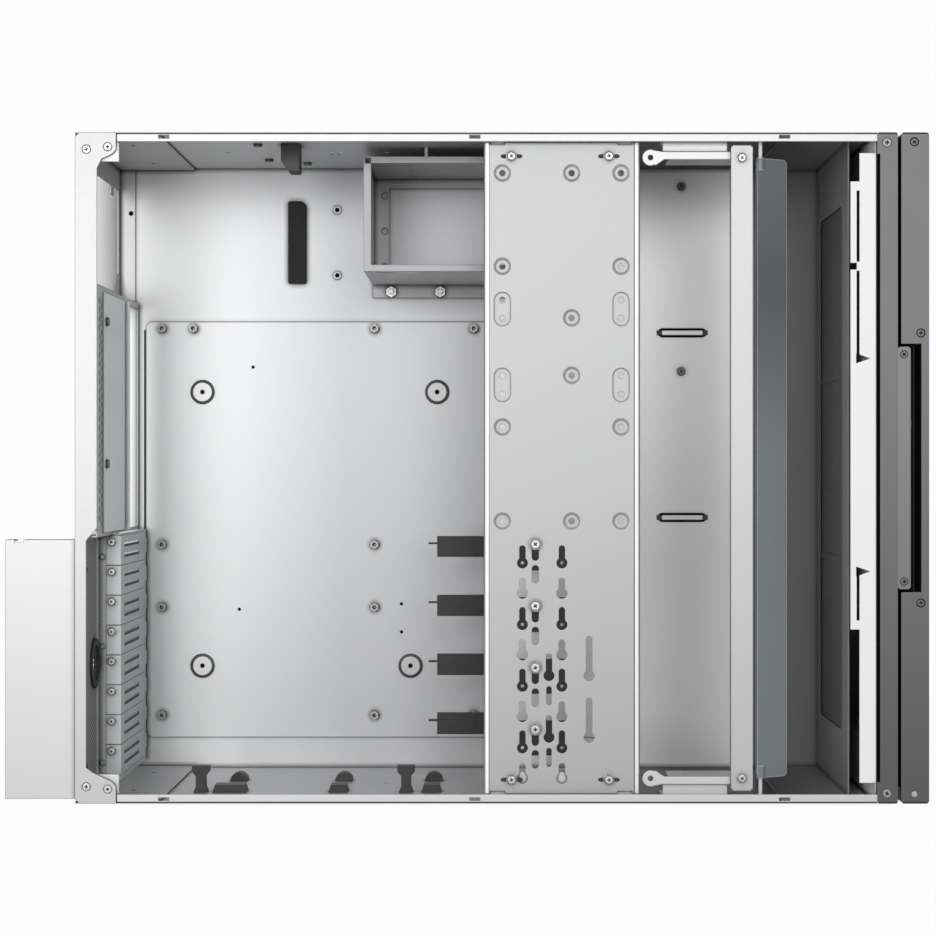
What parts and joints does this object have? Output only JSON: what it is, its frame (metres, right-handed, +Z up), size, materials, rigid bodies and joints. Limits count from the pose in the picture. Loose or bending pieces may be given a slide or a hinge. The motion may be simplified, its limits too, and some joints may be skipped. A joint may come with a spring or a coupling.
{
  "type": "rackmount server case",
  "caption": "Open rackmount server case of folded sheet steel with slot covers, drive cage, card holders, air baffle and hinged front door.",
  "frame": {"origin": "centre of the bounding box, on the surface the case stands on", "axes": "+X towards the front door, +Y towards the power supply side, +Z up"},
  "size_m": [0.606, 0.44, 0.176],
  "materials": {
    "painted_steel": "satin",
    "bare_steel": "satin",
    "dark_steel": "matte",
    "screw_steel": "polished",
    "black_plastic": "satin",
    "grey_plastic": "satin",
    "smoked_clear": "gloss",
    "white_plastic": "satin",
    "foam": "matte",
    "rubber": "matte"
  },
  "bodies": {
    "case": {"baffle_pins": "white_plastic", "bay_liner": "dark_steel", "board_standoffs": "screw_steel", "bracket_screws": "screw_steel", "bridge_bracket_psu_side": "painted_steel", "bridge_bracket_slot_side": "painted_steel", "bridge_plate": "painted_steel", "cable_grommet": "rubber", "cage_nuts": "screw_steel", "cage_tie_pin": "white_plastic", "chassis_tub": "painted_steel", "control_bar": "grey_plastic", "control_bar_screws": "screw_steel", "cross_bar": "painted_steel", "door_hinge_pins": "screw_steel", "drive_cage": "painted_steel", "dust_filter": "grey_plastic", "fan_arm_psu_side": "painted_steel", "fan_arm_slot_side": "painted_steel", "fan_blank_plate": "bare_steel", "fan_rail_psu_side": "painted_steel", "fan_rail_slot_side": "painted_steel", "front_frame": "grey_plastic", "front_frame_screws": "screw_steel", "front_wall": "bare_steel", "panel_screws": "screw_steel", "psu_foam_pad": "foam", "rear_flange_screws": "screw_steel", "rear_hood": "painted_steel", "rear_panel": "painted_steel", "slot_cover_1": "bare_steel", "slot_cover_2": "bare_steel", "slot_cover_3": "bare_steel", "slot_cover_4": "bare_steel", "slot_cover_5": "bare_steel", "slot_cover_6": "bare_steel", "slot_cover_7": "bare_steel", "slot_cover_8": "bare_steel", "slot_cover_screws": "screw_steel", "slot_frame": "bare_steel", "slot_frame_rivets": "screw_steel", "strap_clips": "black_plastic", "usb_sockets": "screw_steel", "wire_clamps": "black_plastic", "wire_duct": "black_plastic"},
    "door": {"front_door": "grey_plastic", "door_grille": "dark_steel", "door_screws": "screw_steel"},
    "baffle": {"air_baffle": "smoked_clear"},
    "power": {"power_button": "grey_plastic"},
    "reset": {"reset_button": "grey_plastic"},
    "card_holder_1": {"card_holder_1": "black_plastic", "holder_thumbscrew_1": "screw_steel"},
    "card_holder_2": {"card_holder_2": "black_plastic", "holder_thumbscrew_2": "screw_steel"},
    "card_holder_3": {"card_holder_3": "black_plastic", "holder_thumbscrew_3": "screw_steel"},
    "card_holder_4": {"card_holder_4": "black_plastic", "holder_thumbscrew_4": "screw_steel"}
  },
  "joints": [
    {"name": "front_door", "type": "hinge", "parent": "case", "child": "door", "pos_m": [0.2934, -0.2138, 0.088], "axis": [0, 0, -1], "range_deg": [0, 95]},
    {"name": "air_baffle", "type": "hinge", "parent": "case", "child": "baffle", "pos_m": [0.1935, 0, 0.1655], "axis": [0, -1, 0], "range_deg": [0, 75]},
    {"name": "power_press", "type": "slide", "parent": "case", "child": "power", "axis": [-1, 0, 0], "range_m": [0, 0.0015], "stiffness_N_per_m": 200, "springref_m": -0.001},
    {"name": "reset_press", "type": "slide", "parent": "case", "child": "reset", "axis": [-1, 0, 0], "range_m": [0, 0.0015], "stiffness_N_per_m": 200, "springref_m": -0.001},
    {"name": "card_holder_1", "type": "slide", "parent": "case", "child": "card_holder_1", "axis": [0, -1, 0], "range_m": [0, 0.0075]},
    {"name": "card_holder_2", "type": "slide", "parent": "case", "child": "card_holder_2", "axis": [0, -1, 0], "range_m": [0, 0.0075]},
    {"name": "card_holder_3", "type": "slide", "parent": "case", "child": "card_holder_3", "axis": [0, -1, 0], "range_m": [0, 0.0075]},
    {"name": "card_holder_4", "type": "slide", "parent": "case", "child": "card_holder_4", "axis": [0, -1, 0], "range_m": [0, 0.0075]}
  ]
}
